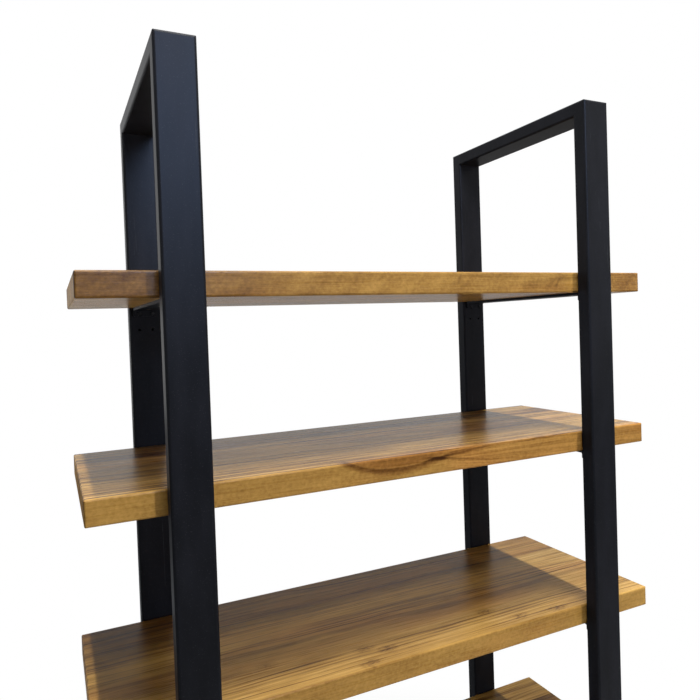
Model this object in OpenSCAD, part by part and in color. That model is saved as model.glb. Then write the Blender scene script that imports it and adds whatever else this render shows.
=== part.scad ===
// Bookcase: two steel hoop frames carry five solid wooden shelves.
// Each shelf has a flat bar screwed under it at each frame. The bar's ends turn down
// into slotted tabs, which drop over shoulder studs in the posts, so the shelf lifts off
// and goes back on another row of threaded inserts.
// The origin is on the floor, under the centre. X runs along the shelves, Y from the
// front to the back, and Z up. Shelves are numbered from the top.

/* [Shelf layout] */
// Height of the lowest shelf's top above the floor
lowest_top = 142; // [135:1:400]
// Distance between two rows of inserts
row_pitch = 32; // [25:1:40]
// Number of rows from the second shelf up to the first
row_count_1 = 10; // [6:1:16]
// Number of rows from the third shelf up to the second
row_count_2 = 11; // [6:1:16]
// Number of rows from the fourth shelf up to the third
row_count_3 = 12; // [6:1:16]
// Number of rows from the fifth shelf up to the fourth
row_count_4 = 13; // [6:1:16]
// Number of spare rows of inserts above the row in use, and below it
spare_row_count = 1; // [0:1:2]
// Height from the top of the first shelf to the top of the frames
head_room = 336; // [150:1:500]

/* [Side frames] */
// Depth of a frame, from front to back
frame_depth = 410; // [300:1:600]
// Width of the tube's broad face
tube_face = 64; // [58:1:90]
// Thickness of the tube from broad face to broad face
tube_depth = 28; // [25:1:50]
// Wall of the tube
tube_wall = 2; // [1.5:0.1:3]
// Radius of the tube's long edges
tube_round = 4.5; // [1:0.1:6]
// Radius that the welded corners are ground to
corner_round = 5; // [1:0.1:8]

/* [Shelves] */
// Length of a shelf
shelf_length = 1120; // [700:1:1600]
// How far a shelf reaches past the outer face of a frame
shelf_overhang = 115; // [30:0.5:200]
// Thickness of a shelf
shelf_thick = 40; // [36:1:60]
// Radius of the shelf's edges
shelf_round = 3.5; // [1:0.1:5]
// Gap between a shelf and the post beside it
shelf_gap = 1; // [0.5:0.1:3]

/* [Support bars] */
// Width of the flat bar
bar_face = 50; // [44:1:56]
// Thickness of the flat bar
bar_thick = 5; // [3:0.1:6]
// Inside radius where the bar turns down
bar_bend = 2; // [1:0.1:2.5]
// How far a tab reaches below the shelf
tab_drop = 17; // [16:0.1:20]
// Radius of a tab's lower corners
tab_round = 4; // [1:0.5:6]
// Gap between a tab and its post
tab_gap = 0.5; // [0.3:0.1:1]

/* [Shoulder studs] */
// Distance between the two studs of a tab
stud_spacing = 26; // [20:1:30]
// Depth of the stud's axis below the shelf
stud_drop = 12; // [12:0.1:13]
// Diameter of the stud's shoulder
shoulder_d = 6; // [5.5:0.1:6.5]
// Clearance around the shoulder in its slot
shoulder_clear = 0.3; // [0.3:0.05:0.4]
// Diameter of the stud's head
head_d = 8; // [7.5:0.1:9]
// Thickness of the stud's head
head_thick = 1.8; // [1.6:0.1:2.5]
// Diameter of the stud's thread
thread_d = 5; // [4:0.1:5]
// Length of the stud's thread
thread_length = 9; // [5:1:10]
// Width across the flats of the socket in the head
socket_af = 3; // [2:0.1:4]

/* [Threaded inserts] */
// Diameter of an insert
insert_d = 7; // [7:0.1:8]
// Length of an insert
insert_length = 12; // [11:1:20]
// Diameter of the bulge that grips the wall from inside
bulge_d = 9.2; // [8.5:0.1:11]
// Length of the bulge
bulge_length = 3; // [2:0.1:5]

/* [Wood screws] */
// Diameter of a screw
screw_d = 4.5; // [3.5:0.1:5]
// Diameter of its countersunk head
screw_head_d = 9; // [8:0.1:10]
// Length of a screw
screw_length = 30; // [20:1:32]
// Number of screws in a bar
screws_per_bar = 3; // [2:1:5]
// Distance from a bar's end to its first screw
screw_inset = 45; // [20:1:80]

/* [Levelling feet] */
// Diameter of a foot pad
pad_d = 40; // [30:1:60]
// Height of a foot pad
pad_height = 8; // [6:0.5:12]
// Width across the flats of the collar above the pad
collar_af = 13; // [10:0.5:17]
// Height of the collar
collar_height = 5; // [4:0.5:8]
// Diameter of the stem
stem_d = 8; // [6:0.5:10]
// Length of the stem above the collar
stem_length = 24; // [16:1:24]
// Distance from the frame's front or back to a foot's axis
foot_inset = 48; // [40:1:90]
// Diameter of the insert that the stem screws into
foot_insert_d = 11; // [11:0.5:14]
// Length of that insert
foot_insert_length = 15; // [10:1:20]

/* [Hidden] */
$fn = 48;
frame_colour = "#24272c";
wood_colour = "#a9783c";
steel_colour = "#8d9196";
plastic_colour = "#1b1c1e";
// Gap between pieces that seat on each other but can part
seat_gap = 0.3;
// Radial gap between a thread or shank and its hole
hole_gap = 0.1;
// Radial gap between a pressed-in insert and its hole
press_gap = 0.05;
// How far a cutting tool runs past the face that it cuts
over = 1;
row_counts = [row_count_1, row_count_2, row_count_3, row_count_4];
shelves = [0 : len(row_counts)];
// Rows from the lowest shelf up to shelf k
function rows_up(k) = k == len(row_counts) ? 0 : row_counts[k] + rows_up(k + 1);
function shelf_top(k) = lowest_top + row_pitch * rows_up(k);
function stud_height(k) = shelf_top(k) - shelf_thick - stud_drop;
frame_bottom = pad_height + collar_height + seat_gap;
frame_height = shelf_top(0) + head_room - frame_bottom;
frame_x = shelf_length / 2 - shelf_overhang - tube_face / 2;
post_face_y = frame_depth / 2 - tube_depth;
bar_half = post_face_y - tab_gap;
bend_outer = bar_bend + bar_thick;
shoulder_length = tab_gap + bar_thick + seat_gap;
insert_rows = [-spare_row_count : spare_row_count];
insert_heights = [for (k = shelves, n = insert_rows) stud_height(k) + n * row_pitch];
screw_span = 2 * (bar_half - screw_inset);
screw_places = [for (n = [0 : screws_per_bar - 1]) screw_span * (n / (screws_per_bar - 1) - 0.5)];
foot_y = frame_depth / 2 - foot_inset;

// ---- Shared shapes ----

module rounded_rectangle(width, height, radius) {
    square([width - 2 * radius, height], center = true);
    square([width, height - 2 * radius], center = true);
    for (x = [-1, 1], y = [-1, 1])
        translate([x * (width / 2 - radius), y * (height / 2 - radius)]) circle(r = radius);
}

// The section of the tube, with its outer broad face on y = 0
module tube_section() {
    inner_round = max(tube_round - tube_wall, 0.5);
    translate([0, tube_depth / 2]) difference() {
        rounded_rectangle(tube_face, tube_depth, tube_round);
        rounded_rectangle(tube_face - 2 * tube_wall, tube_depth - 2 * tube_wall, inner_round);
    }
}

// What a mitre saw takes off the end of a tube at z = 0
module mitre_waste() {
    rotate([45, 0, 0]) translate([-tube_face, -tube_depth, -2 * tube_depth])
        cube([2 * tube_face, 4 * tube_depth, 2 * tube_depth]);
}

// What the grinder takes off a welded corner on the edge y = 0, z = 0
module corner_waste() {
    difference() {
        translate([-tube_face, -over, -over])
            cube([2 * tube_face, corner_round + over, corner_round + over]);
        translate([-tube_face - over, corner_round, corner_round]) rotate([0, 90, 0])
            cylinder(r = corner_round, h = 2 * tube_face + 2 * over);
    }
}

// A tube along z with both ends mitred, its outer broad face on y = 0
module mitred_tube(length) {
    difference() {
        linear_extrude(length) tube_section();
        for (end = [0, 1]) translate([0, 0, end * length]) mirror([0, 0, end]) {
            mitre_waste();
            corner_waste();
        }
    }
}

// ---- Places ----

// The outer face of a post's foot: side is -1 left or 1 right, back is 0 front or 1 rear
module at_post(side, back) {
    translate([side * frame_x, 0, 0]) mirror([0, back, 0])
        translate([0, -frame_depth / 2, frame_bottom]) children();
}

// The mouths of the insert holes of a post at the heights given, with z out of the hole
module at_holes(heights) {
    for (height = heights, x = [-1, 1])
        translate([x * stud_spacing / 2, tube_depth, height - frame_bottom])
            rotate([-90, 0, 0]) children();
}

// The underside of a shelf on a frame's centre line
module at_bar(side, k) {
    translate([side * frame_x, 0, shelf_top(k) - shelf_thick]) children();
}

// The screws of a bar, from the underside of the bar, with z up
module at_screws() {
    for (y = screw_places) translate([0, y, -bar_thick]) children();
}

// The axis of a foot on the floor: end is -1 front or 1 rear
module at_foot(side, end) {
    translate([side * frame_x, end * foot_y, 0]) children();
}

// ---- Side frames ----

// A post: hollow tube with rows of holes in the face that looks at the other post
module post(side, back) {
    color(frame_colour) at_post(side, back) difference() {
        mitred_tube(frame_height);
        at_holes(insert_heights) translate([0, 0, -tube_wall - over])
            cylinder(d = insert_d + 2 * press_gap, h = tube_wall + 2 * over);
    }
}

// The top rail closes the hoop above the first shelf
module top_rail(side) {
    color(frame_colour)
        translate([side * frame_x, -frame_depth / 2, frame_bottom + frame_height])
            rotate([-90, 0, 0]) mitred_tube(frame_depth);
}

// The bottom rail closes the hoop near the floor and holds two feet
module bottom_rail(side) {
    color(frame_colour) difference() {
        translate([side * frame_x, frame_depth / 2, frame_bottom]) rotate([90, 0, 0])
            mitred_tube(frame_depth);
        for (end = [-1, 1]) at_foot(side, end) translate([0, 0, frame_bottom - over])
            cylinder(d = foot_insert_d + 2 * press_gap, h = tube_wall + 2 * over);
    }
}

// Blind rivet inserts of a post: flush with its face, with a bulge behind the wall
module inserts(side, back) {
    outer = insert_d / 2;
    bore = thread_d / 2 + hole_gap;
    bulge_start = -tube_wall - press_gap;
    bulge_end = bulge_start - bulge_length;
    color(steel_colour) at_post(side, back) at_holes(insert_heights)
        rotate_extrude() polygon([[bore, 0], [outer, 0], [outer, bulge_start],
            [bulge_d / 2, bulge_start], [bulge_d / 2, bulge_end + bulge_length / 3],
            [outer, bulge_end], [outer, -insert_length], [bore, -insert_length]]);
}

// Shoulder studs of a shelf: two in each post, screwed in up to the shoulder
module shoulder_studs(k) {
    color(steel_colour) for (side = [-1, 1], back = [0, 1])
        at_post(side, back) at_holes([stud_height(k)]) difference() {
            union() {
                translate([0, 0, -thread_length]) cylinder(d = thread_d, h = thread_length);
                cylinder(d = shoulder_d, h = shoulder_length);
                translate([0, 0, shoulder_length]) stud_head();
            }
            translate([0, 0, shoulder_length + head_thick * 0.4])
                cylinder(d = socket_af / cos(30), h = head_thick, $fn = 6);
        }
}

// The low head of a stud, with its rim chamfered
module stud_head() {
    chamfer = head_thick / 3;
    cylinder(d = head_d, h = head_thick - chamfer);
    translate([0, 0, head_thick - chamfer])
        cylinder(d1 = head_d, d2 = head_d - 2 * chamfer, h = chamfer);
}

// ---- Shelves ----

// A shelf: solid board with every edge rounded, and pilot holes for its screws
module shelf(k) {
    depth = 2 * (post_face_y - shelf_gap);
    color(wood_colour) translate([0, 0, shelf_top(k)]) difference() {
        translate([0, 0, -shelf_thick / 2]) intersection() {
            linear_extrude(shelf_thick, center = true)
                rounded_rectangle(shelf_length, depth, shelf_round);
            rotate([90, 0, 0]) linear_extrude(depth, center = true)
                rounded_rectangle(shelf_length, shelf_thick, shelf_round);
            rotate([90, 0, 90]) linear_extrude(shelf_length, center = true)
                rounded_rectangle(depth, shelf_thick, shelf_round);
        }
        for (side = [-1, 1]) translate([side * frame_x, 0, -shelf_thick]) at_screws()
            cylinder(d = screw_d + 2 * hole_gap, h = screw_length + hole_gap);
    }
}

// The bent shape of a support bar seen from its side, with the shelf on y = 0
module bar_profile() {
    flat_half = bar_half - bend_outer;
    translate([-flat_half, -bar_thick]) square([2 * flat_half, bar_thick]);
    for (end = [0, 1]) mirror([end, 0]) {
        translate([flat_half, -bend_outer]) intersection() {
            difference() {
                circle(r = bend_outer);
                circle(r = bar_bend);
            }
            square(bend_outer);
        }
        translate([bar_half - bar_thick, -tab_drop]) square([bar_thick, tab_drop - bend_outer]);
    }
}

// The slot in a tab, round over the stud and open below, cut along y
module stud_slot() {
    width = shoulder_d + 2 * shoulder_clear;
    cut = bar_thick + 2 * over;
    rotate([90, 0, 0]) cylinder(d = width, h = cut, center = true);
    translate([-width / 2, -cut / 2, -tab_drop]) cube([width, cut, tab_drop]);
}

// What is filed off the lower corner of both tabs on one side of a bar
module tab_corner_waste() {
    translate([bar_face / 2 - tab_round, 0, tab_round - tab_drop]) rotate([90, 0, 0])
        difference() {
            translate([0, -tab_round - over, -bar_half - over])
                cube([tab_round + over, tab_round + over, 2 * (bar_half + over)]);
            cylinder(r = tab_round, h = 2 * (bar_half + 2 * over), center = true);
        }
}

// A support bar: flat steel turned down at both ends, with two slots in each tab
module support_bar(side, k) {
    color(frame_colour) at_bar(side, k) difference() {
        rotate([90, 0, 90]) linear_extrude(bar_face, center = true) bar_profile();
        for (x = [0, 1]) mirror([x, 0, 0]) tab_corner_waste();
        for (x = [-1, 1], end = [-1, 1])
            translate([x * stud_spacing / 2, end * (bar_half - bar_thick / 2), -stud_drop])
                stud_slot();
        at_screws() {
            translate([0, 0, -over]) cylinder(d = screw_d + 2 * hole_gap, h = bar_thick + 2 * over);
            countersink(hole_gap);
        }
    }
}

// The cone of a countersunk head, grown by a gap
module countersink(gap) {
    depth = (screw_head_d - screw_d) / 2;
    cylinder(d1 = screw_head_d + 2 * gap, d2 = screw_d + 2 * gap, h = depth);
}

// Countersunk screws that hold both bars of a shelf
module wood_screws(k) {
    point = screw_d;
    color(steel_colour) for (side = [-1, 1]) at_bar(side, k) at_screws() {
        countersink(0);
        cylinder(d = screw_d, h = screw_length - point);
        translate([0, 0, screw_length - point]) cylinder(d1 = screw_d, d2 = 1, h = point);
    }
}

// ---- Levelling feet ----

// Inserts in the bottom rails that the foot stems screw into
module foot_inserts() {
    color(steel_colour) for (side = [-1, 1], end = [-1, 1])
        at_foot(side, end) translate([0, 0, frame_bottom]) difference() {
            cylinder(d = foot_insert_d, h = foot_insert_length);
            translate([0, 0, -over])
                cylinder(d = stem_d + 2 * hole_gap, h = foot_insert_length + 2 * over);
        }
}

// A foot pad: plastic disc with a bevelled rim and a socket for the stem
module foot_pad(side, end) {
    bevel = pad_height / 4;
    socket = pad_height / 2;
    color(plastic_colour) at_foot(side, end) difference() {
        union() {
            cylinder(d = pad_d, h = pad_height - bevel);
            translate([0, 0, pad_height - bevel])
                cylinder(d1 = pad_d, d2 = pad_d - 2 * bevel, h = bevel);
        }
        translate([0, 0, pad_height - socket]) cylinder(d = stem_d + 2 * hole_gap, h = socket + over);
    }
}

// A foot stem: threaded rod with a hexagonal collar that sits on the pad
module foot_stem(side, end) {
    root = pad_height / 2 - hole_gap;
    color(steel_colour) at_foot(side, end) translate([0, 0, pad_height]) {
        translate([0, 0, -root]) cylinder(d = stem_d, h = root + collar_height + stem_length);
        cylinder(d = collar_af / cos(30), h = collar_height, $fn = 6);
    }
}

post(-1, 0);  // front_post_left
post(-1, 1);  // rear_post_left
top_rail(-1);  // top_rail_left
bottom_rail(-1);  // bottom_rail_left
post(1, 0);  // front_post_right
post(1, 1);  // rear_post_right
top_rail(1);  // top_rail_right
bottom_rail(1);  // bottom_rail_right
inserts(-1, 0);  // inserts_front_left
inserts(-1, 1);  // inserts_rear_left
inserts(1, 0);  // inserts_front_right
inserts(1, 1);  // inserts_rear_right
shelf(0);  // shelf_1
shelf(1);  // shelf_2
shelf(2);  // shelf_3
shelf(3);  // shelf_4
shelf(4);  // shelf_5
support_bar(-1, 0);  // support_bar_left_1
support_bar(-1, 1);  // support_bar_left_2
support_bar(-1, 2);  // support_bar_left_3
support_bar(-1, 3);  // support_bar_left_4
support_bar(-1, 4);  // support_bar_left_5
support_bar(1, 0);  // support_bar_right_1
support_bar(1, 1);  // support_bar_right_2
support_bar(1, 2);  // support_bar_right_3
support_bar(1, 3);  // support_bar_right_4
support_bar(1, 4);  // support_bar_right_5
wood_screws(0);  // wood_screws_1
wood_screws(1);  // wood_screws_2
wood_screws(2);  // wood_screws_3
wood_screws(3);  // wood_screws_4
wood_screws(4);  // wood_screws_5
shoulder_studs(0);  // shoulder_studs_1
shoulder_studs(1);  // shoulder_studs_2
shoulder_studs(2);  // shoulder_studs_3
shoulder_studs(3);  // shoulder_studs_4
shoulder_studs(4);  // shoulder_studs_5
foot_inserts();
foot_pad(-1, -1);  // foot_pad_front_left
foot_pad(-1, 1);  // foot_pad_rear_left
foot_pad(1, -1);  // foot_pad_front_right
foot_pad(1, 1);  // foot_pad_rear_right
foot_stem(-1, -1);  // foot_stem_front_left
foot_stem(-1, 1);  // foot_stem_rear_left
foot_stem(1, -1);  // foot_stem_front_right
foot_stem(1, 1);  // foot_stem_rear_right
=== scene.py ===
import math

import bpy
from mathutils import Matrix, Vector


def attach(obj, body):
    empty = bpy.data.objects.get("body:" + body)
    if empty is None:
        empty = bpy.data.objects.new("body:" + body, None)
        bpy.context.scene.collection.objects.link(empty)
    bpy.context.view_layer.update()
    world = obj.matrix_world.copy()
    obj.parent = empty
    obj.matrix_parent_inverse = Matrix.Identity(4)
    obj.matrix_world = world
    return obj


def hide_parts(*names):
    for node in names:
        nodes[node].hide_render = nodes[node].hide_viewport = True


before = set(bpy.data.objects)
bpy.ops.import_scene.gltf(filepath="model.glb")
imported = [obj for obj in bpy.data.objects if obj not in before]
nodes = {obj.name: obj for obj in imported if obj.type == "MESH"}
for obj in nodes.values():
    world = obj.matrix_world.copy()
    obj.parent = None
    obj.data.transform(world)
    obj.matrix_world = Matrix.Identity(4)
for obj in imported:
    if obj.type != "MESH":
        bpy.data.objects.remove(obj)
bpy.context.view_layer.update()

# ---- Side frames ----
# Two hoops of rectangular steel tube, mitred, welded and ground smooth at the corners.
# The finish is a satin powder coat, nearly black with a blue cast: a fine orange-peel
# skin, specks of dust, a few rubbed scratches, and a duller film in broad patches.


class Wire:
    """One output of a shader node. Python's arithmetic on it adds Math nodes."""

    def __init__(self, tree, socket=None):
        self.tree, self.socket = tree, socket

    def node(self, kind, settings=None, sockets=None, output=0):
        """Adds a node, with its settings first and then its sockets' values or links."""
        added = self.tree.nodes.new("ShaderNode" + kind)
        for name, value in (settings or {}).items():
            if name == "stops":
                ramp = added.color_ramp.elements
                for count, (position, shade) in enumerate(value):
                    stop = ramp[count] if count < 2 else ramp.new(position)
                    stop.position, stop.color = position, shade
            else:
                setattr(added, name, value)
        for name, value in (sockets or {}).items():
            if isinstance(value, Wire):
                self.tree.links.new(value.socket, added.inputs[name])
            else:
                added.inputs[name].default_value = value
        return Wire(self.tree, added.outputs[output])

    def other(self, output):
        """Another output of the same node."""
        return Wire(self.tree, self.socket.node.outputs[output])

    def math(self, operation, first, second=0.0):
        return self.node("Math", {"operation": operation}, {0: first, 1: second})

    def __add__(self, other):
        return self.math("ADD", self, other)

    def __sub__(self, other):
        return self.math("SUBTRACT", self, other)

    def __rsub__(self, other):
        return self.math("SUBTRACT", other, self)

    def __mul__(self, other):
        return self.math("MULTIPLY", self, other)

    def __truediv__(self, other):
        return self.math("DIVIDE", self, other)

    def __rtruediv__(self, other):
        return self.math("DIVIDE", other, self)

    def __pow__(self, other):
        return self.math("POWER", self, other)

    def __abs__(self):
        return self.math("ABSOLUTE", self)

    __radd__ = __add__
    __rmul__ = __mul__

    def rise(self, low, high):
        """0 below low and 1 above high, with a soft step between them."""
        return self.node(
            "MapRange",
            {"interpolation_type": "SMOOTHSTEP"},
            {"Value": self, "From Min": low, "From Max": high},
        )

    def blend(self, first, second, way="MIX"):
        """This value's share of the second colour over the first."""
        settings = {"data_type": "RGBA", "blend_type": way}
        return self.node("Mix", settings, {0: self, 6: first, 7: second}, 2)

    def cloud(self, lumps, detail, rough=0.5, shift=(0.0, 0.0, 0.0)):
        """Noise at this place, with so many lumps in a metre along x, y and z."""
        moved = self.node("VectorMath", {"operation": "ADD"}, {0: self, 1: shift})
        scaled = self.node("VectorMath", {"operation": "MULTIPLY"}, {0: moved, 1: lumps})
        return self.node(
            "TexNoise",
            {},
            {"Vector": scaled, "Scale": 1.0, "Detail": detail, "Roughness": rough},
        )

    def bands(self, per_metre, seed, detail):
        """Noise along this length alone."""
        return self.node(
            "TexNoise",
            {"noise_dimensions": "1D"},
            {"W": self * per_metre + seed, "Scale": 1.0, "Detail": detail},
        )


def colour(red, green, blue):
    """A colour as it is seen, from 0 to 255, made linear by the sRGB curve."""
    parts = []
    for part in (red, green, blue):
        part /= 255
        parts.append(part / 12.92 if part < 0.04 else ((part + 0.055) / 1.055) ** 2.4)
    return (*parts, 1.0)


def start_finish(name):
    """A new material, its shader, and the place on the piece that it colours."""
    material = bpy.data.materials.new(name)
    material.use_nodes = True
    tree = material.node_tree
    shader = tree.nodes["Principled BSDF"]
    place = Wire(tree).node("TexCoord", output="Object")
    return material, shader, place


def join(wire, shader, socket):
    """Feeds the wire into this socket of the shader."""
    wire.tree.links.new(wire.socket, shader.inputs[socket])


def roughen(shader, strength, depth, height):
    """Fine relief, so many metres deep where the height goes from 0 to 1."""
    sockets = {"Strength": strength, "Distance": depth, "Height": height}
    join(height.node("Bump", {}, sockets), shader, "Normal")


def powder_coat(name, light, dark, roughness):
    """Orange peel and dust all over, and scratches in patches, over a mottled body."""
    material, shader, place = start_finish(name)
    peel = place.cloud((520, 520, 520), 2.0)
    mottle = place.cloud((38, 38, 9), 3.0)
    film = place.cloud((7, 7, 2.2), 4.0, 0.6)
    specks = place.cloud((640, 640, 640), 0.0).rise(0.745, 0.78)
    scratch_place = place.cloud((26, 26, 5), 1.0).rise(0.60, 0.68)
    scratches = place.cloud((900, 900, 14), 1.0).rise(0.71, 0.74) * scratch_place
    tone = mottle * 0.5 + film * 0.5
    body = tone.rise(0.30, 0.70).blend(colour(*dark), colour(*light))
    marked = (specks * 0.14 + scratches * 0.30).blend(body, colour(104, 106, 112))
    join(marked, shader, "Base Color")
    join(roughness + (film - 0.5) * 0.14 + scratches * 0.12, shader, "Roughness")
    roughen(shader, 0.35, 0.00012, peel - scratches * 0.5)
    shader.inputs["Specular IOR Level"].default_value = 0.076
    shader.inputs["Specular Tint"].default_value = (0.90, 0.95, 1.0, 1.0)
    return material


def dress(names, material):
    """Gives the nodes of these names the material as their only one."""
    for name in names:
        nodes[name].data.materials.clear()
        nodes[name].data.materials.append(material)


frame_coat = powder_coat("frame_powder_coat", (28, 29, 35), (18, 19, 23), 0.40)
ends, sides = ("front", "rear"), ("left", "right")
dress([f"{end}_post_{side}" for end in ends for side in sides], frame_coat)
dress([f"{level}_rail_{side}" for level in ("top", "bottom") for side in sides], frame_coat)

# ---- Threaded inserts ----
# Blind rivet inserts of steel, pulled into the inner face of each post in rows. The
# plating is black zinc: cloudy, nearly as dark as the coat, with fine turned rings.

frame_centre = 0.413
stud_spacing = 0.026
row_pitch = 0.032
shelf_tops = (1.614, 1.294, 0.942, 0.558, 0.142)
shelf_thick = 0.040
stud_drop = 0.012
first_stud = shelf_tops[-1] - shelf_thick - stud_drop


def plated_steel(name, light, dark, turned):
    """Cloudy plating over fine turned marks, which ring the axes of studs and inserts."""
    material, shader, place = start_finish(name)
    parts = place.node("SeparateXYZ", {}, {0: place})
    beside = abs(abs(abs(parts.other("X")) - frame_centre) - stud_spacing / 2)
    rows = (parts.other("Z") - first_stud) / row_pitch
    above = (rows - rows.math("ROUND", rows)) * row_pitch
    radius = (beside * beside + above * above) ** 0.5
    rings = radius.bands(4200, 3.0, 3.0)
    cloudy = place.cloud((160, 160, 160), 3.0)
    tone = cloudy.rise(0.3, 0.7) * 0.7 + rings * 0.3
    join(tone.blend(colour(*dark), colour(*light)), shader, "Base Color")
    join(0.26 + cloudy * 0.16 + rings * turned, shader, "Roughness")
    roughen(shader, 0.25, 0.00004, rings)
    shader.inputs["Metallic"].default_value = 1.0
    return material


insert_plating = plated_steel("insert_plating", (44, 46, 50), (26, 27, 30), 0.10)
dress([f"inserts_{end}_{side}" for end in ends for side in sides], insert_plating)

# ---- Shelves ----
# Solid boards of oiled hardwood, each glued up from staves of one width, with the outer
# ones ripped to fit, planed flat and rounded over at every edge by the router. Growth
# rings, fibres and pores run through the board, so the ends show the rings of the faces.

stave_width = 0.088
wood_stops = (
    (0.00, colour(62, 37, 14)),
    (0.22, colour(110, 77, 35)),
    (0.46, colour(148, 110, 54)),
    (0.66, colour(178, 138, 72)),
    (0.86, colour(200, 158, 87)),
    (1.00, colour(214, 178, 112)),
)


class Board:
    """One shelf's directions in metres, its staves, and which way its faces look."""

    def __init__(self, shelf, glue_line, place):
        self.shelf, self.place = shelf, place
        top = shelf_tops[shelf - 1]
        self.seed = (shelf * 3.17, shelf * 1.71, shelf * 0.43 - top)
        parts = place.node("SeparateXYZ", {}, {0: place})
        self.along, self.back = parts, parts.other("Y")
        self.level = parts.other("Z") - (top - shelf_thick / 2)
        facing = place.node("TexCoord", output="Normal")
        facing = place.node("SeparateXYZ", {}, {0: facing})
        self.end_grain = abs(facing).rise(0.5, 0.8)
        self.edge_face = abs(facing.other("Y")).rise(0.5, 0.8)

        stave = place.math("FLOOR", (self.back - glue_line) / stave_width)
        self.across = self.back - glue_line - (stave + 0.5) * stave_width
        self.front = place.math("LESS_THAN", self.back, glue_line - stave_width)
        draw = {"W": stave * 1.37 + shelf * 7.3}
        chance = place.node("TexWhiteNoise", {"noise_dimensions": "1D"}, draw, 1)
        self.chance = place.node("SeparateColor", {}, {0: chance})

    def cloud(self, lumps, detail, rough=0.5):
        """Noise moved to this board's seed, so that no two boards match."""
        return self.place.cloud(lumps, detail, rough, self.seed)

    def front_skin(self):
        """1 on the outermost wood of the front, fading out behind its face."""
        return 1 - self.back.rise(-0.170, -0.150)


def ring_radius(board, front_heart):
    """The distance from the heart of each stave's tree, which bends along the board."""
    front, chance = board.front, board.chance
    # Each stave's heart lies under it, and the front stave's lies behind its face.
    heart_across = front * front_heart + (1 - front) * (chance - 0.5) * 0.20
    heart_below = (1 - front) * (0.045 + chance.other("Green") * 0.05) + front * 0.004
    sideways, upright = board.across - heart_across, board.level + heart_below
    radius = (sideways * sideways + upright * upright) ** 0.5
    drift = board.cloud((0.9, 3.0, 3.0), 1.0) - 0.5
    wobble = board.cloud((3.4, 12.0, 12.0), 2.0) - 0.5
    run_out = board.along * (chance.other("Blue") - 0.5) * 0.012
    return radius + drift * (0.040 + board.edge_face * 0.03) + wobble * 0.016 + run_out


def growth_rings(board, radius):
    """Broad and narrow rings, dark lines, and fainter paired lines off the edges."""
    broad = radius.bands(95, 11.0 * board.shelf, 3.0)
    narrow = radius.bands(170, 5.0 * board.shelf, 4.0)
    rings = (broad - 0.5) * 0.34 + (narrow - 0.5) * 0.50
    line_at = radius.bands(34, 23.0 * board.shelf, 0.0)
    pair_at = radius.bands(27, 31.0 * board.shelf, 0.0)
    line_share = board.cloud((2.5, 26, 26), 2.0).rise(0.36, 0.58)
    lines = (1 - abs(line_at - 0.5).rise(0.0, 0.060)) * line_share
    pairs = 1 - abs(abs(pair_at - 0.5) - 0.11).rise(0.0, 0.045)
    pairs = pairs * (1 - board.edge_face) * (1 - line_share * 0.5)
    return rings, lines, pairs


def oiled_wood(shelf, figure, glue_line, front_heart, darkness, sheen, contrast):
    """One joint lies at the glue line, front to back, and the others a stave's width apart.
    The front heart is how far the front stave's tree stood from that stave's middle. The
    figure gives the board its own dark wood and blushed wood, and on some boards painted
    shade and painted light too."""
    material, shader, place = start_finish(f"oiled_wood_{shelf}")
    board = Board(shelf, glue_line, place)
    edge_face, end_grain, chance = board.edge_face, board.end_grain, board.chance
    rings, lines, pairs = growth_rings(board, ring_radius(board, front_heart))
    fibres = board.cloud((9, 300, 300), 3.0, 0.6)
    hair = board.cloud((60, 2100, 2100), 1.0)
    pores = board.cloud((85, 1500, 1500), 1.0).rise(0.60, 0.70)
    smoke = board.cloud((2.6, 11, 11), 4.0, 0.55)
    flame = board.cloud((7, 34, 34), 3.0, 0.6)
    speckle = board.cloud((150, 300, 170), 3.0, 0.6)
    seam = 1 - abs(abs(board.across) - stave_width / 2).rise(0.0002, 0.0013)
    marks, blush = figure(board)

    grain = (
        (rings + (flame - 0.5) * 0.40) * (1 - edge_face * 0.55)
        + (fibres - 0.5) * (0.62 - edge_face * 0.34)
        + (hair - 0.5) * 0.18
        - lines * (0.42 - edge_face * 0.26)
        - pairs * 0.15
    )
    tone = (
        0.66
        + grain * (contrast - edge_face * (contrast - 1))
        + (smoke - 0.5) * 0.55
        + (speckle - 0.5) * edge_face * 0.42
        + (chance - 0.5) * 0.10
        - pores * 0.12
        - end_grain * 0.17
        - edge_face * 0.05
        - darkness
        - marks
        - seam * 0.16
    )
    plain = place.node("ValToRGB", {"stops": wood_stops}, {0: tone})
    warm_shift = (board.seed[1], board.seed[0], board.seed[2])
    warm = place.cloud((3.2, 17, 17), 2.0, 0.5, warm_shift)
    warm = (warm * 0.75 + chance.other("Green") * 0.25).rise(0.42, 0.66) * 0.5 + blush
    join(warm.blend(plain, colour(246, 220, 214), "MULTIPLY"), shader, "Base Color")
    roughness = 0.29 + (fibres - 0.5) * 0.20 + pores * 0.14 + end_grain * 0.2
    join(roughness, shader, "Roughness")
    height = fibres * 0.5 + hair * 0.25 - pores * 0.6 - lines * 0.15 - seam * 0.6
    roughen(shader, 0.45, 0.0004, height)
    shader.inputs["Specular IOR Level"].default_value = sheen
    return material


def vein(distance, soft_side, crisp_side):
    """A dark line, soft on its lower side and crisp on its upper side."""
    return distance.rise(-soft_side, -0.0004) * (1 - distance.rise(0.0004, crisp_side))


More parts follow.
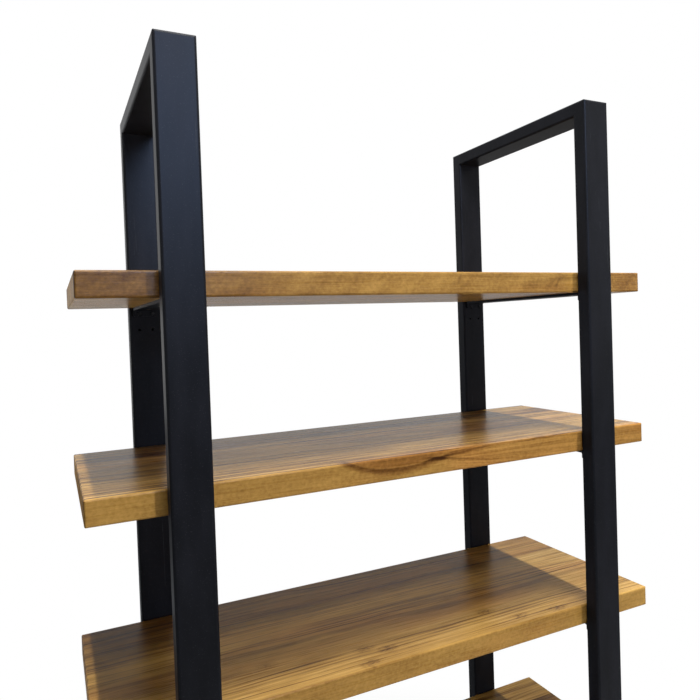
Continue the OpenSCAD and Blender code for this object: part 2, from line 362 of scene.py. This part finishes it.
def smoky_end(board):
    """Darker heartwood at the right end of the front, a darker left end that is partly painted
    shade, and a few slanting wisps between.
    """
    along, level = board.along, board.level
    cloudy = board.cloud((9, 30, 30), 3.0, 0.6) - 0.5
    # Painted shade: the left end is darkened partly as the wood's own tone and partly as shade,
    # as if less light reached it than the right.
    left = 1 - (along + cloudy * 0.16).rise(-0.52, -0.12)
    right = (along + cloudy * 0.10).rise(0.42, 0.54)
    slant = along - level * 0.9
    curl = (board.cloud((20, 20, 22), 2.0) - 0.5) * 0.045
    wisps = 0.0
    for where, low in ((0.088, -0.006), (0.335, -0.012), (0.372, 0.002)):
        wisp = 1 - abs(slant - where + curl).rise(0.0, 0.0095)
        wisps += wisp * level.rise(low, low + 0.008) * (1 - level.rise(0.010, 0.017))
    drifts = slant.node("CombineXYZ", {}, {0: slant, 1: level, 2: board.back})
    drifts = drifts.cloud((26, 9, 9), 3.0, 0.5, board.seed) - 0.5
    marks = left * 0.40 + right * 0.22 + wisps * 0.15 + drifts * 0.50
    return marks * board.front_skin(), right * 0.3


def branch_swirl(board):
    """The dark bow and fanned streaks where a branch left the front stave."""
    along, level = board.along, board.level
    ragged = (board.cloud((24, 60, 60), 2.0) - 0.5) * 0.006
    fall_away = along.math("MAXIMUM", (-0.047 - along) / 0.098, 0.0) ** 2.2
    bow_level = fall_away * 0.022 + along.rise(-0.047, 0.113) * 0.020 - 0.002
    above_bow = level - bow_level + ragged
    thin_out = 1 - along.rise(0.00, 0.10) * 0.55
    bow = vein(above_bow, 0.0130, 0.0042) * thin_out * (1 - along.rise(0.08, 0.19))

    fall = level - 0.0105 + (along - 0.008) * 0.125 + ragged
    fall = vein(fall, 0.0050, 0.0032) * along.rise(-0.015, 0.02)
    fall = fall * (1 - along.rise(0.09, 0.20))

    fan_at = (level - 0.006 + ragged) / (along + 0.035)
    fan = 1 - abs(fan_at.bands(26, 4.0, 1.0) - 0.5).rise(0.01, 0.10)
    right = along.rise(0.02, 0.10)
    inside = above_bow.rise(0.0, 0.006) * (1 - right)

    branch = level - 0.0098 - along.rise(0.03, 0.17) * 0.0085 + ragged
    branch = vein(branch, 0.0042, 0.0022)
    branch = branch * along.rise(0.025, 0.05) * (1 - along.rise(0.28, 0.42))
    knot = ((along - 0.033) / 0.024) ** 2 + ((level - 0.0062) / 0.0046) ** 2
    knot = 1 - knot.rise(0.2, 1.0)

    marks = bow * 0.40 + fall * 0.26 + fan * right * 0.13 + inside * 0.14
    marks = marks + branch * 0.30 + knot * 0.16 - right * 0.08
    blush = inside * 0.7 + bow * 0.5 + right * 0.4
    skin = board.front_skin()
    return marks * skin, blush * skin


def pecked(board):
    """Small forked flecks where birds pecked the growing tree, in the front of the top."""
    at = {0: board.along * 7.0 + board.seed[0], 1: board.back * 13}
    spots = board.place.node("CombineXYZ", {}, at)
    sockets = {"Vector": spots, "Scale": 1.0, "Randomness": 0.9}
    cell = spots.node("TexVoronoi", {"voronoi_dimensions": "2D"}, sockets)
    pit, halo = 1 - cell.rise(0.0, 0.08), 1 - cell.rise(0.04, 0.20)
    forks = 1 - abs(board.cloud((60, 110, 110), 1.0) - 0.5).rise(0.01, 0.09)
    fleck = halo * (0.35 + forks * 0.65) + pit * 0.4
    near_top = board.level.rise(0.0165, 0.0190)
    near_front = 1 - board.back.rise(-0.11, -0.06)
    no_blush = 0.0
    return fleck * 0.34 * near_top * near_front, no_blush


def dark_corner(board):
    """Pecked wood, dark in the left rear corner and along the front's left half, and lighter
    near the top at the right end, which is painted light."""
    along, back = board.along, board.back
    marks, blush = pecked(board)
    heart = (1 - along.rise(-0.50, -0.30)) * back.rise(0.018, 0.032)
    smoke = (1 - along.rise(-0.10, 0.08)) * (1 - back.rise(-0.175, -0.165))
    # Painted light: the top and its rounded edge are made paler at the right end, where a band
    # of light falls.
    painted_end_light = along.rise(0.25, 0.50) * board.level.rise(0.010, 0.018)
    return marks + heart * 0.28 + smoke * 0.12 - painted_end_light * 0.09, blush


# The figure, glue line, front heart, darkness, sheen and contrast of each board.
woods = (
    (smoky_end, 0.004, 0.070, 0.012, 0.17, 1.0),
    (branch_swirl, 0.018, 0.075, -0.012, 0.10, 1.7),
    (dark_corner, -0.012, 0.072, 0.015, 0.10, 1.15),
    (pecked, 0.030, 0.078, 0.02, 0.10, 1.1),
    (smoky_end, -0.004, 0.068, 0.02, 0.095, 1.1),
)
for shelf, wood in enumerate(woods, 1):
    dress([f"shelf_{shelf}"], oiled_wood(shelf, *wood))

# ---- Support bars ----
# Flat steel bars across the underside of each shelf, turned down at both ends into
# slotted tabs. They have the same powder coat as the frames, a little rougher.

bar_coat = powder_coat("bar_powder_coat", (28, 29, 34), (18, 19, 23), 0.44)
bars = [f"support_bar_{side}_{count}" for side in sides for count in range(1, 6)]
dress(bars, bar_coat)

# ---- Shoulder studs ----
# Turned steel studs with a low chamfered head and a hexagonal socket, screwed into the
# inserts. The plating is black zinc, a little paler than on the inserts.

stud_plating = plated_steel("stud_plating", (60, 61, 65), (36, 37, 40), 0.12)
dress([f"shoulder_studs_{count}" for count in range(1, 6)], stud_plating)

# ---- Wood screws ----
# Countersunk screws of zinc-plated steel with a cross recess, three in each bar. The
# head is flush with the bar and the thread is in the board.

round_sides = 24
screw_d, screw_head_d, screw_length = 0.0045, 0.009, 0.030
head_height = (screw_head_d - screw_d) / 2
tip_height, tip_share = screw_d, 0.2
rim_width, rim_height = 0.0003, 0.0001
recess_length, recess_width, recess_depth, recess_taper = 0.0044, 0.0009, 0.0018, 0.35
bar_thick, bar_half = 0.005, 0.1765
screw_inset = 0.045


def raise_by(height):
    """What an extrude operator takes to move its new faces up, or down below 0."""
    return {"value": (0, 0, height)}


def select_facing(way):
    """In edit mode, selects the faces that look up, where the way is 1, or down, at -1."""
    bpy.ops.mesh.select_all(action="DESELECT")
    bpy.ops.object.mode_set(mode="OBJECT")
    for face in bpy.context.object.data.polygons:
        face.select = face.normal.z * way > 0.9
    bpy.ops.object.mode_set(mode="EDIT")


def pick(pieces):
    """Selects these pieces alone, with the first of them active."""
    bpy.ops.object.select_all(action="DESELECT")
    for piece in pieces:
        piece.select_set(True)
    bpy.context.view_layer.objects.active = pieces[0]


def settle(piece, name):
    """Names a finished piece and puts its place into its mesh."""
    pick([piece])
    bpy.ops.object.transform_apply(location=True, rotation=True, scale=True)
    piece.name = name
    return piece


def apply_all(piece):
    """Makes what the piece's modifiers do a part of its mesh."""
    bpy.context.view_layer.objects.active = piece
    for modifier in list(piece.modifiers):
        bpy.ops.object.modifier_apply(modifier=modifier.name)


def own_copy(pattern, place):
    """A copy of a pattern at this place, with a mesh of its own."""
    copy = pattern.copy()
    copy.data = pattern.data.copy()
    copy.location = place
    bpy.context.collection.objects.link(copy)
    return copy


def put_together(pieces):
    """Joins the pieces into the first of them."""
    pick(pieces)
    bpy.ops.object.join()
    return pieces[0]


bpy.ops.object.select_all(action="DESELECT")
shank = screw_length - tip_height - head_height
bpy.ops.mesh.primitive_cylinder_add(
    vertices=round_sides,
    radius=screw_d / 2,
    depth=shank,
    location=(0, 0, head_height + shank / 2),
)
screw = bpy.context.object
bpy.ops.object.mode_set(mode="EDIT")
bpy.ops.mesh.select_mode(type="FACE")
select_facing(-1)
bpy.ops.mesh.extrude_region_move(TRANSFORM_OT_translate=raise_by(-head_height))
bpy.ops.transform.resize(value=(screw_head_d / screw_d, screw_head_d / screw_d, 1))
bpy.ops.mesh.inset(thickness=rim_width)
bpy.ops.transform.translate(value=(0, 0, -rim_height))
select_facing(1)
bpy.ops.mesh.extrude_region_move(TRANSFORM_OT_translate=raise_by(tip_height))
bpy.ops.transform.resize(value=(tip_share, tip_share, 1))
bpy.ops.object.mode_set(mode="OBJECT")
settle(screw, "screw_pattern")
for wide, long in ((recess_length, recess_width), (recess_width, recess_length)):
    bpy.ops.object.select_all(action="DESELECT")
    bpy.ops.mesh.primitive_cube_add(size=1, scale=(wide, long, 2 * recess_depth))
    driver = bpy.context.object
    bpy.ops.object.mode_set(mode="EDIT")
    select_facing(1)
    bpy.ops.transform.resize(value=(recess_taper, recess_taper, 1))
    bpy.ops.object.mode_set(mode="OBJECT")
    cut = screw.modifiers.new("recess", "BOOLEAN")
    cut.operation, cut.solver, cut.object = "DIFFERENCE", "EXACT", driver
    apply_all(screw)
    bpy.data.objects.remove(driver)
pick([screw])
bpy.ops.object.shade_smooth_by_angle(angle=math.radians(35))

screw_plating = plated_steel("screw_plating", (196, 188, 158), (132, 124, 98), 0.12)
screw.data.materials.append(screw_plating)
for count, top in enumerate(shelf_tops, 1):
    copies = []
    for side in (-1, 1):
        for step in (-1, 0, 1):
            back = step * (bar_half - screw_inset)
            under_bar = top - shelf_thick - bar_thick
            copy = own_copy(screw, (side * frame_centre, back, under_bar))
            # Each screw was driven home at a turn of its own.
            copy.rotation_euler.z = 0.4 + 1.9 * side * step + count * 1.1 + side
            copies.append(copy)
    screws = settle(put_together(copies), f"countersunk_screws_{count}")
    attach(screws, f"shelf_{count}_assembly")
    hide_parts(f"wood_screws_{count}")
bpy.data.objects.remove(screw)

# ---- Levelling feet ----
# A moulded plastic pad under a threaded steel stem with a hexagonal collar, in an insert
# in the bottom rail. The thread is rolled, and the pad has a fine moulded grain.

foot_back = 0.157
foot_places = {
    f"{end}_{side}": (across * frame_centre, back * foot_back, 0)
    for end, back in zip(ends, (-1, 1))
    for side, across in zip(sides, (-1, 1))
}
pad_height, collar_height, collar_af, collar_arris = 0.008, 0.005, 0.013, 0.0004
stem_d, stem_length, thread_pitch, thread_depth = 0.008, 0.024, 0.00125, 0.0007
# The thread and the peg run into the collar by the overlap, and the peg stands clear of
# the bottom of the pad's socket by its play. Corners closer than the weld become one.
overlap, peg_play, peg_chamfer, weld = 0.001, 0.0001, 0.0005, 0.00001

foot_plating = plated_steel("foot_plating", (190, 188, 178), (128, 126, 120), 0.10)
dress(["foot_inserts"], foot_plating)

bpy.ops.object.select_all(action="DESELECT")
collar_radius = collar_af / 2 / math.cos(math.pi / 6)
bpy.ops.mesh.primitive_circle_add(
    vertices=6, radius=collar_radius, location=(0, 0, pad_height), fill_type="NGON"
)
collar = bpy.context.object
bpy.ops.object.mode_set(mode="EDIT")
bpy.ops.mesh.select_all(action="SELECT")
bpy.ops.mesh.extrude_region_move(TRANSFORM_OT_translate=raise_by(collar_height))
bpy.ops.mesh.select_all(action="SELECT")
bpy.ops.mesh.normals_make_consistent(inside=False)
bpy.ops.object.mode_set(mode="OBJECT")
softened = collar.modifiers.new("arris", "BEVEL")
softened.width, softened.segments, softened.limit_method = collar_arris, 2, "ANGLE"
apply_all(collar)
settle(collar, "collar_pattern")

# One V of the thread's profile, on three corners of a square, is wound up the stem.
bpy.ops.object.select_all(action="DESELECT")
bpy.ops.mesh.primitive_plane_add(size=thread_pitch)
thread = bpy.context.object
bpy.ops.object.mode_set(mode="EDIT")
bpy.ops.mesh.select_mode(type="VERT")
bpy.ops.mesh.delete(type="ONLY_FACE")
bpy.ops.object.mode_set(mode="OBJECT")
for corner in thread.data.vertices:
    corner.select = corner.index == 3
bpy.ops.object.mode_set(mode="EDIT")
bpy.ops.mesh.delete(type="VERT")
bpy.ops.object.mode_set(mode="OBJECT")
crest, below, above = thread.data.vertices
crest.co = (stem_d / 2, 0, 0)
below.co = (stem_d / 2 - thread_depth, 0, -thread_pitch / 2)
above.co = (stem_d / 2 - thread_depth, 0, thread_pitch / 2)
winding = thread.modifiers.new("winding", "SCREW")
winding.steps, winding.render_steps = round_sides, round_sides
winding.screw_offset, winding.iterations = thread_pitch, int(stem_length / thread_pitch) + 1
apply_all(thread)
bpy.ops.object.mode_set(mode="EDIT")
bpy.ops.mesh.select_all(action="SELECT")
bpy.ops.mesh.remove_doubles(threshold=weld)
bpy.ops.mesh.select_all(action="DESELECT")
bpy.ops.mesh.select_non_manifold()
bpy.ops.mesh.fill_holes(sides=0)
bpy.ops.mesh.select_all(action="SELECT")
bpy.ops.mesh.normals_make_consistent(inside=False)
bpy.ops.object.mode_set(mode="OBJECT")
low = min(corner.co.z for corner in thread.data.vertices)
high = max(corner.co.z for corner in thread.data.vertices)
thread.scale.z = (stem_length + overlap) / (high - low)
thread.location.z = pad_height + collar_height - overlap - low * thread.scale.z
settle(thread, "thread_pattern")

bpy.ops.object.select_all(action="DESELECT")
peg_low, peg_high = pad_height / 2 + peg_play, pad_height + overlap
bpy.ops.mesh.primitive_cylinder_add(
    vertices=round_sides,
    radius=stem_d / 2,
    depth=peg_high - peg_low,
    location=(0, 0, (peg_low + peg_high) / 2),
)
peg = settle(bpy.context.object, "peg_pattern")
bpy.ops.object.mode_set(mode="EDIT")
select_facing(-1)
bpy.ops.mesh.bevel(offset=peg_chamfer, segments=1)
bpy.ops.object.mode_set(mode="OBJECT")
stem = put_together([collar, thread, peg])
bpy.ops.object.shade_smooth_by_angle(angle=math.radians(32))
stem.data.materials.append(foot_plating)
for place_name, foot_place in foot_places.items():
    copy = settle(own_copy(stem, foot_place), f"threaded_stem_{place_name}")
    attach(copy, f"foot_{place_name}")
    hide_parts(f"foot_stem_{place_name}")
bpy.data.objects.remove(stem)


def moulded_plastic(name):
    """Dark plastic with a fine moulded grain, and dust lying on it in patches."""
    material, shader, place = start_finish(name)
    grain = place.cloud((900, 900, 900), 2.0)
    dust = place.cloud((60, 60, 60), 3.0).rise(0.45, 0.75)
    dusty = (dust * 0.5 + grain * 0.2).blend(colour(24, 25, 27), colour(62, 61, 58))
    join(dusty, shader, "Base Color")
    join(0.48 + grain * 0.15 + dust * 0.1, shader, "Roughness")
    roughen(shader, 0.4, 0.0001, grain)
    return material


dress([f"foot_pad_{place_name}" for place_name in foot_places], moulded_plastic("pad_plastic"))

# ---- Floor, light and camera ----
# A pale studio floor fades into a white backdrop. A small hard lamp stands at the front
# right. Narrow beams fall past both ends, and two wide soft lamps hang above the front. A
# softer one lights the left side from behind, and a card puts a cool sheen on the fronts.

floor_radius, floor_rim, floor_glow = 10.0, 0.02, 0.6
fade_start, fade_end = 0.8, 1.35
white, dim_sky = (1.0, 1.0, 1.0, 1.0), (0.022, 0.025, 0.029, 1.0)
warm_white = (1.0, 0.98, 0.95)
soft_white = (1.0, 0.985, 0.96)
daylight = (0.86, 0.93, 1.0)
cool_sheen = (0.44, 0.61, 1.0)


def studio_paint(name):
    """Matt and pale, lifted a little for the camera, and pure white far from the middle."""
    paint = bpy.data.materials.new(name)
    paint.use_nodes = True
    tree = paint.node_tree
    tree.nodes.remove(tree.nodes["Principled BSDF"])
    place = Wire(tree).node("TexCoord", output="Object")
    out_from_middle = place.node("VectorMath", {"operation": "LENGTH"}, {0: place}, 1)
    seen = place.node("LightPath", output="Is Camera Ray")
    far = out_from_middle.rise(fade_start, fade_end) * seen
    matt = place.node("BsdfDiffuse", {}, {"Color": colour(228, 228, 228)})
    glow = place.node("Emission", {}, {"Color": white, "Strength": seen * floor_glow})
    lit = place.node("AddShader", {}, {0: matt, 1: glow})
    backdrop = place.node("Emission", {}, {"Color": white, "Strength": 1.0})
    faded = place.node("MixShader", {}, {0: far, 1: lit, 2: backdrop})
    tree.links.new(faded.socket, tree.nodes["Material Output"].inputs["Surface"])
    return paint


bpy.ops.object.select_all(action="DESELECT")
bpy.ops.mesh.primitive_circle_add(vertices=96, radius=floor_radius, fill_type="NGON")
floor = bpy.context.object
bpy.ops.object.mode_set(mode="EDIT")
bpy.ops.mesh.select_all(action="SELECT")
bpy.ops.mesh.inset(thickness=floor_rim)
bpy.ops.object.mode_set(mode="OBJECT")
settle(floor, "studio_floor")
floor.data.materials.append(studio_paint("studio_floor_paint"))

world = bpy.data.worlds.new("studio")
bpy.context.scene.world = world
world.use_nodes = True
world.cycles.sampling_method = "NONE"
path = Wire(world.node_tree).node("LightPath", output="Is Camera Ray")
direct = path.math("MAXIMUM", path, path.other("Is Glossy Ray"))
direct = path.math("MAXIMUM", direct, path.other("Is Transmission Ray"))
sky = direct.blend(dim_sky, white)
join(sky, world.node_tree.nodes["Background"], "Color")


def lamp(name, place, target, size, power, tint):
    """A round or oval soft lamp that faces the target, with its sizes in metres."""
    bpy.ops.object.light_add(type="AREA", location=place)
    light = bpy.context.object
    light.name = name
    light.data.shape = "ELLIPSE"
    light.data.size, light.data.size_y = size
    light.data.energy, light.data.color = power, tint
    aim = Vector(target) - Vector(place)
    light.rotation_euler = aim.to_track_quat("-Z", "Y").to_euler()
    return light


front = lamp("front_lamp", (1.78, -3.5, 1.3), (0, 0, 1.2), (0.16, 0.16), 58, warm_white)
front.visible_glossy = False
end = lamp("end_lamp", (1.373, -0.1, 3.236), (0.46, -0.1, 1.2), (0.7, 0.05), 1.8, warm_white)
end.data.spread = math.radians(34)
end.visible_glossy = False
left = lamp("left_lamp", (-0.66, -0.05, 3.4), (-0.66, -0.05, 1.2), (0.05, 0.6), 1.6, warm_white)
left.data.spread = math.radians(40)
lamp("top_lamp", (0.0, -0.62, 3.4), (0, -0.3, 1.3), (1.6, 0.7), 48, soft_white)
lamp("deep_lamp", (0.0, -1.76, 3.4), (0, -0.3, 1.3), (1.8, 0.2), 20, soft_white)
rear = lamp("back_lamp", (-2.2, 2.2, 1.15), (0, 0, 1.2), (1.6, 1.0), 31, daylight)
rear.visible_glossy = False
card = lamp("shine_card", (0.15, -2.8, 2.9), (0, 0, 1.7), (1.2, 1.6), 104, cool_sheen)
card.visible_diffuse = False

bpy.ops.object.camera_add(location=(-0.59295, -1.04955, 1.52291))
camera = bpy.context.object
camera.name = "studio_camera"
camera.rotation_euler = [math.radians(angle) for angle in (88.8749, 2.0523, -23.3226)]
camera.data.lens, camera.data.sensor_width = 30.4085, 36
camera.data.shift_x, camera.data.shift_y = 0.065004, -0.015510
bpy.context.scene.camera = camera
bpy.context.scene.view_settings.view_transform = "Standard"
